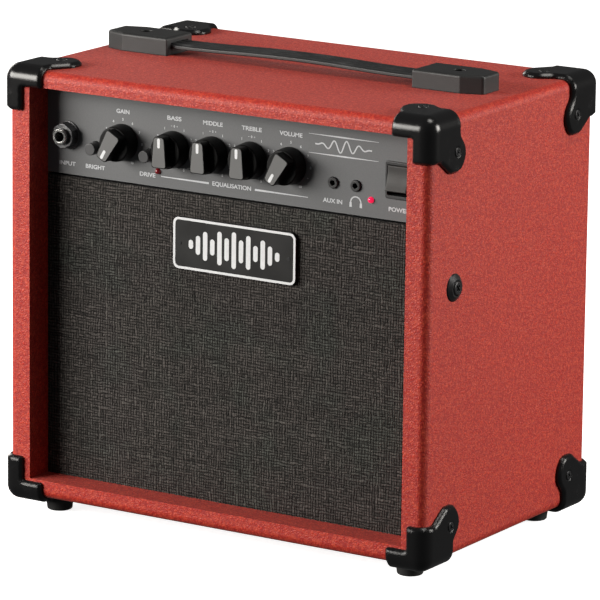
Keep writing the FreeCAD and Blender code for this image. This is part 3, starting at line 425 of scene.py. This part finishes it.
def bar(bm, a, b, width_a, width_b, y, thickness, round_ends=False):
    """A straight stroke from a to b, as wide as width_a at a and width_b at b."""
    a = Vector(a)
    b = Vector(b)
    along = (b - a).normalized()
    aside = Vector((-along.y, along.x))
    if not round_ends:
        outline = [a - aside * width_a / 2, b - aside * width_b / 2,
                   b + aside * width_b / 2, a + aside * width_a / 2]
        stroke(bm, [tuple(p) for p in outline], y, thickness)
        return
    outline = []
    for end, way, half in ((b, along, width_b / 2), (a, -along, width_a / 2)):
        side = Vector((-way.y, way.x))
        for i in range(9):
            angle = math.pi * i / 8 - math.pi / 2
            outline.append(tuple(end + way * math.cos(angle) * half + side * math.sin(angle) * half))
    stroke(bm, outline, y, thickness)


def ring(bm, cx, cz, size_x, size_z, r, width, y, thickness, steps=8):
    """A rounded rectangular border of even width."""
    def outline(inset):
        points = []
        radius = max(r - inset, 0.0001)
        for sx, sz, first in ((1, 1, 0), (-1, 1, 90), (-1, -1, 180), (1, -1, 270)):
            ox = cx + sx * (size_x / 2 - r)
            oz = cz + sz * (size_z / 2 - r)
            for i in range(steps + 1):
                angle = math.radians(first + 90 * i / steps)
                points.append((ox + radius * math.cos(angle), oz + radius * math.sin(angle)))
        return points
    outer = outline(0.0)
    inner = outline(width)
    rows = []
    for points, level in ((outer, y), (outer, y - thickness), (inner, y - thickness), (inner, y)):
        rows.append([bm.verts.new((px, level, pz)) for px, pz in points])
    count = len(outer)
    for k in range(3):
        for i in range(count):
            j = (i + 1) % count
            bm.faces.new((rows[k][i], rows[k][j], rows[k + 1][j], rows[k + 1][i]))


def disc(bm, cx, cz, r, y, thickness, steps=20):
    points = [(cx + r * math.cos(2 * math.pi * i / steps), cz + r * math.sin(2 * math.pi * i / steps))
              for i in range(steps)]
    stroke(bm, points, y, thickness)


def lettering(bm, text, x, z, height, width=None, y=None):
    """Generic control names and dial numbers, centred at x and z, on the plane y."""
    curve = bpy.data.curves.new("text", "FONT")
    curve.body = text
    curve.offset = 0.026
    holder = bpy.data.objects.new("text", curve)
    mesh = bpy.data.meshes.new_from_object(holder)
    xs = [v.co.x for v in mesh.vertices]
    ys = [v.co.y for v in mesh.vertices]
    tall = height / 0.729
    wide = width / (max(xs) - min(xs)) if width else tall
    middle_x = (max(xs) + min(xs)) / 2
    middle_y = (max(ys) + min(ys)) / 2
    start = len(bm.verts)
    bm.from_mesh(mesh)
    bm.verts.ensure_lookup_table()
    for v in bm.verts[start:]:
        v.co = Vector((x + (v.co.x - middle_x) * wide, y, z + (v.co.y - middle_y) * tall))
    bpy.data.objects.remove(holder)
    bpy.data.meshes.remove(mesh)
    bpy.data.curves.remove(curve)


# ---------------------------------------------------------------- control panel print

def panel_print():
    bm = bmesh.new()
    y = panel_y - 0.04 * MM
    below = base + 223.1 * MM
    above = base + 262.3 * MM
    cap = 2.75 * MM
    knobs = {k: Vector(joint_at[k + "_turn"]) for k in ("gain", "bass", "middle", "treble", "volume")}
    widths = {"gain": 10.2, "bass": 11.0, "middle": 15.0, "treble": 15.2, "volume": 17.2}
    for name, at in knobs.items():
        lettering(bm, name.upper(), at.x, above, cap, widths[name] * MM, y)
        dial(bm, name, at, y)
    for text, x, width in (("INPUT", -127.6, 12.8), ("BRIGHT", -105.6, 15.2), ("DRIVE", -64.6, 12.2),
                           ("AUX IN", 76.4, 14.4), ("POWER", 125.5, 15.2)):
        lettering(bm, text, x * MM, below, cap, width * MM, y)
    lettering(bm, "EQUALISATION", 0.3 * MM, below, cap, 29.6 * MM, y)
    bar(bm, (-54.0 * MM, below), (-17.2 * MM, below), 0.5 * MM, 1.3 * MM, y, 0)
    bar(bm, (18.0 * MM, below), (58.0 * MM, below), 1.3 * MM, 0.4 * MM, y, 0)
    headphones(bm, 93.6 * MM, base + 223.6 * MM, y)
    emblem(bm, 84 * MM, base + 258.4 * MM, y)
    mesh = bpy.data.meshes.new("panel_print")
    bm.to_mesh(mesh)
    bm.free()
    piece("panel_print", mesh, white_ink)


def dial(bm, name, at, y):
    """Numbers round a knob: 0 to 10, or outwards from 0 at the top for a tone control."""
    ring_r = 14.9 * MM
    tone = name in ("bass", "middle", "treble")
    for i in range(11):
        angle = math.radians(-150 + 30 * i)
        x = at.x + ring_r * math.sin(angle)
        z = at.z + ring_r * math.cos(angle)
        if tone and i == 5:
            lettering(bm, "0", x, z, 1.5 * MM, None, y)
            for dx in (-2.2, 2.2):
                bar(bm, (x + (dx - 0.5) * MM, z), (x + (dx + 0.5) * MM, z), 0.25 * MM, 0.25 * MM, y, 0)
            bar(bm, (x + 2.2 * MM, z - 0.5 * MM), (x + 2.2 * MM, z + 0.5 * MM), 0.25 * MM, 0.25 * MM, y, 0)
        else:
            lettering(bm, str(abs(i - 5) if tone else i), x, z, 1.7 * MM, None, y)


def headphones(bm, x, z, y):
    """The usual sign for a headphone socket: a band and two ear pads."""
    r = 3.8 * MM
    steps = 14
    previous = None
    for i in range(steps + 1):
        angle = math.pi * i / steps
        point = (x + r * math.cos(angle), z + 0.4 * MM + r * math.sin(angle))
        if previous:
            bar(bm, previous, point, 0.9 * MM, 0.9 * MM, y, 0)
        previous = point
    for sx in (-1, 1):
        bar(bm, (x + sx * r, z + 0.4 * MM), (x + sx * r, z - 2.6 * MM), 1.5 * MM, 1.8 * MM, y, 0)


def emblem(bm, x, z, y):
    """A plain sound wave between two rules."""
    for dz in (6.1, -6.1):
        bar(bm, (x - 26 * MM, z + dz * MM), (x, z + dz * MM), 0.2 * MM, 1.0 * MM, y, 0)
        bar(bm, (x, z + dz * MM), (x + 26 * MM, z + dz * MM), 1.0 * MM, 0.2 * MM, y, 0)
    steps = 72
    previous = None
    for i in range(steps + 1):
        t = i / steps * 2 - 1
        swell = math.cos(t * math.pi / 2) ** 1.5
        point = (x + t * 21 * MM, z + 4.1 * MM * swell * math.sin(t * math.pi * 4.5))
        if previous:
            bar(bm, previous, point, 0.9 * MM, 0.9 * MM, y, 0)
        previous = point


# ---------------------------------------------------------------- badge

def badge_face():
    low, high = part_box("badge")
    cx = (low.x + high.x) / 2
    cz = (low.z + high.z) / 2
    size_x = high.x - low.x
    size_z = high.z - low.z
    bm = bmesh.new()
    ring(bm, cx, cz, size_x - 0.6 * MM, size_z - 0.6 * MM, 4.3 * MM, 1.6 * MM, low.y, 0.12 * MM)
    heights = (6.0, 12.5, 19.0, 10.5, 22.0, 15.0, 24.0, 15.0, 22.0, 10.5, 19.0, 12.5, 6.0)
    for i, tall in enumerate(heights):
        x = cx + (i - (len(heights) - 1) / 2) * 5.5 * MM
        half = (tall / 2 - 1.7) * MM
        bar(bm, (x, cz - half), (x, cz + half), 3.4 * MM, 3.4 * MM, low.y, 0.12 * MM, True)
    piece("badge_print", finish_mesh(bm, "badge_print"), badge_white)
    bm = bmesh.new()
    for sx in (-1, 1):
        disc(bm, cx + sx * (size_x / 2 - 5.5 * MM), cz, 1.3 * MM, low.y, 0.25 * MM)
    piece("badge_pin_heads", finish_mesh(bm, "badge_pin_heads"), looks["black_steel"])


# ---------------------------------------------------------------- knobs

def knob_faces():
    """A grey sheet on each pointer's face, a painted reflection of the light on the black knob, and its white
    mark.
    """
    face_proud = 0.06 * MM
    for name in ("gain", "bass", "middle", "treble", "volume"):
        at = Vector(joint_at[name + "_turn"])
        low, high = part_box("knob_" + name)
        turn = math.radians(-150.0 if name in ("gain", "volume") else 0.0)
        spin = Matrix.Translation(at) @ Matrix.Rotation(turn, 4, "Y") @ Matrix.Translation(-at)
        y = low.y
        # painted reflection: this grey sheet on the pointer stands for light that the black plastic reflects
        bm = bmesh.new()
        outline = rounded([(-5.2, -9.2, 1.5), (5.2, -9.2, 1.5), (3.6, 10.2, 2.0), (-3.6, 10.2, 2.0)])
        stroke(bm, [(at.x + px * MM, at.z + pz * MM) for px, pz in outline], y, face_proud)
        mesh = finish_mesh(bm, "reflection_sheet_mesh")
        mesh.transform(spin)
        piece("knob_reflection_" + name, mesh, pointer_reflection_grey, name + "_knob")
        bm = bmesh.new()
        bar(bm, (at.x, at.z + 4.4 * MM), (at.x, at.z + 8.7 * MM), 2.0 * MM, 2.2 * MM,
            y - face_proud, face_proud, True)
        mesh = finish_mesh(bm, "knob_mark")
        mesh.transform(spin)
        piece("knob_mark_" + name, mesh, badge_white, name + "_knob")


def rounded(corners, steps=6):
    """Points (u, v) of an outline whose corners (u, v, r) are rounded."""
    points = []
    for i, (u, v, r) in enumerate(corners):
        here = Vector((u, v))
        back = (Vector(corners[i - 1][:2]) - here).normalized()
        ahead = (Vector(corners[(i + 1) % len(corners)][:2]) - here).normalized()
        half = math.acos(max(-1, min(1, back.dot(ahead)))) / 2
        centre = here + (back + ahead).normalized() * (r / math.sin(half))
        first = here + back * (r / math.tan(half)) - centre
        last = here + ahead * (r / math.tan(half)) - centre
        for k in range(steps + 1):
            way = first.lerp(last, k / steps).normalized()
            points.append(tuple(centre + way * r))
    return points


# ---------------------------------------------------------------- grille cloth

def grille():
    """The cloth, stretched over the baffle, with its edges turned back round it."""
    low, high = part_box("grille_cloth")
    columns, rows = 120, 84
    bm = bmesh.new()
    grid = []
    for j in range(rows + 1):
        line = []
        for i in range(columns + 1):
            x = low.x + (high.x - low.x) * i / columns
            z = low.z + (high.z - low.z) * j / rows
            rim = min(i, columns - i, j, rows - j)
            depth = (0.65 if rim == 0 else 0.2 if rim == 1 else 0.0) + 0.06 * math.sin(x * 41 + z * 23)
            line.append(bm.verts.new((x, low.y + (0.12 + depth) * MM, z)))
        grid.append(line)
    for j in range(rows):
        for i in range(columns):
            bm.faces.new((grid[j][i], grid[j][i + 1], grid[j + 1][i + 1], grid[j + 1][i]))
    cloth = piece("grille_weave_sheet", finish_mesh(bm, "grille_weave_sheet"), looks["cloth"],
                  smooth=True)
    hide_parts("grille_cloth")


# ---------------------------------------------------------------- cone suspensions

def wedge(name, centre, profile, first, turn, steps=8):
    """Part of a turned ring about the speaker's axis. The profile is a closed loop of (radius, depth) in mm."""
    bm = bmesh.new()
    rows = []
    for i in range(steps + 1):
        angle = first + turn * i / steps
        rows.append([bm.verts.new((centre.x + r * MM * math.sin(angle), centre.y + depth * MM,
                                   centre.z + r * MM * math.cos(angle))) for r, depth in profile])
    for i in range(steps):
        for j in range(len(profile)):
            k = (j + 1) % len(profile)
            bm.faces.new((rows[i][j], rows[i][k], rows[i + 1][k], rows[i + 1][j]))
    bm.faces.new(rows[0])
    bm.faces.new(rows[-1][::-1])
    return finish_mesh(bm, name)


def suspensions():
    """Each surround and spider in wedges, between the basket and the cone that they carry."""
    coil_r = 13.1
    roll_middle_r = 52.0
    roll_outer = 3.9
    roll_inner = 3.3
    rim_depth = 0.6
    spider_thickness = 0.4
    arc = [math.pi * i / 10 for i in range(11)]
    roll = [(roll_middle_r + roll_outer * math.cos(a), rim_depth - roll_outer * math.sin(a)) for a in arc]
    roll += [(roll_middle_r + roll_inner * math.cos(a), rim_depth - roll_inner * math.sin(a))
             for a in reversed(arc)]
    front = [(coil_r + 0.6, 25.2), (18, 25.9), (22, 25.1), (26, 25.9), (30, 25.1), (33.0, 26.0), (36.0, 26.0)]
    spider = front + [(r, depth + spider_thickness) for r, depth in reversed(front)]
    # each kind: its profile, the radius where it stays with the basket, and where it goes with the cone
    kinds = (("surround", roll, 54.0, 48.1), ("spider", spider, 34.0, 15.0))
    count = 12
    turn = 2 * math.pi / count
    for side in ("left", "right"):
        low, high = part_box("suspension_" + side)
        flange_y = low.y + (roll_outer - rim_depth) * MM
        centre = Vector(((low.x + high.x) / 2, flange_y, (low.z + high.z) / 2))
        for kind, profile, fixed_r, moving_r in kinds:
            for i in range(count):
                name = "%s_%s_%02d" % (kind, side, i + 1)
                mesh = wedge(name, centre, profile, turn * i, turn)
                mesh.materials.append(looks["suspension_cloth"])
                made = bpy.data.objects.new(name, mesh)
                bpy.context.scene.collection.objects.link(made)
                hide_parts("suspension_" + side)
                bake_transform(made)


panel_print()
badge_face()
knob_faces()
grille()
suspensions()


# ---------------------------------------------------------------- studio

def floor():
    """A white table, which glows a little so that it stays white, and isn't mirrored in the gloss."""
    g = Graph("pale_floor", (0.90, 0.90, 0.90), 0.7, Specular_IOR_Level=0.2)
    g.colour(g.mix(g.noise(3, 2.0), (0.89, 0.89, 0.89), (0.91, 0.91, 0.91)))
    g.shader.inputs["Emission Color"].default_value = (1, 1, 1, 1)
    g.shader.inputs["Emission Strength"].default_value = 0.85
    bm = bmesh.new()
    bmesh.ops.create_grid(bm, x_segments=1, y_segments=1, size=14)
    mesh = bpy.data.meshes.new("floor")
    bm.to_mesh(mesh)
    bm.free()
    mesh.materials.append(g.material)
    made = bpy.data.objects.new("floor", mesh)
    made.visible_diffuse = False
    made.visible_glossy = False
    bpy.context.scene.collection.objects.link(made)


def panel_light(name, azimuth, elevation, distance, size, power, target=(0, 0, 0.15), colour=(1, 1, 1)):
    """A soft box. Azimuth 0 is straight in front and 90 to the right, in degrees."""
    light = bpy.data.lights.new(name, "AREA")
    light.shape = "RECTANGLE"
    light.size, light.size_y = size
    light.energy = power
    light.color = colour
    a = math.radians(azimuth)
    e = math.radians(elevation)
    way = Vector((math.sin(a) * math.cos(e), -math.cos(a) * math.cos(e), math.sin(e)))
    made = bpy.data.objects.new(name, light)
    made.location = Vector(target) + way * distance
    made.rotation_euler = way.to_track_quat("Z", "Y").to_euler()
    bpy.context.scene.collection.objects.link(made)


def studio():
    floor()
    warm = (1.0, 0.965, 0.91)
    panel_light("key", -45, 15, 2.2, (1.6, 0.9), 80, colour=warm)
    panel_light("side", 118, 14, 2.2, (0.9, 0.9), 44, colour=warm)
    panel_light("left_rim", -118, 12, 2.0, (0.7, 1.0), 12, colour=warm)
    panel_light("overhead", 100, 72, 2.2, (0.8, 0.8), 18, colour=warm)
    world = bpy.data.worlds.new("studio")
    world.use_nodes = True
    background = world.node_tree.nodes["Background"]
    background.inputs[0].default_value = (1, 1, 1, 1)
    background.inputs[1].default_value = 0.07
    bpy.context.scene.world = world


def camera():
    """A long lens from the right of the front, a little above."""
    data = bpy.data.cameras.new("camera")
    data.lens = 298.0
    data.sensor_width = 36.0
    data.clip_end = 60
    made = bpy.data.objects.new("camera", data)
    a = math.radians(32.38)
    e = math.radians(13.12)
    back = Vector((math.sin(a) * math.cos(e), -math.cos(a) * math.cos(e), math.sin(e)))
    target = Vector((0.0661, -0.103, 0.1735))
    turn = back.to_track_quat("Z", "Y").to_matrix().to_4x4()
    distance = 3.1333
    roll = Matrix.Rotation(math.radians(0.65), 4, "Z")
    made.matrix_world = Matrix.Translation(target + back * distance) @ turn @ roll
    bpy.context.scene.collection.objects.link(made)
    bpy.context.scene.camera = made


studio()
camera()
bpy.context.scene.view_settings.view_transform = "Standard"
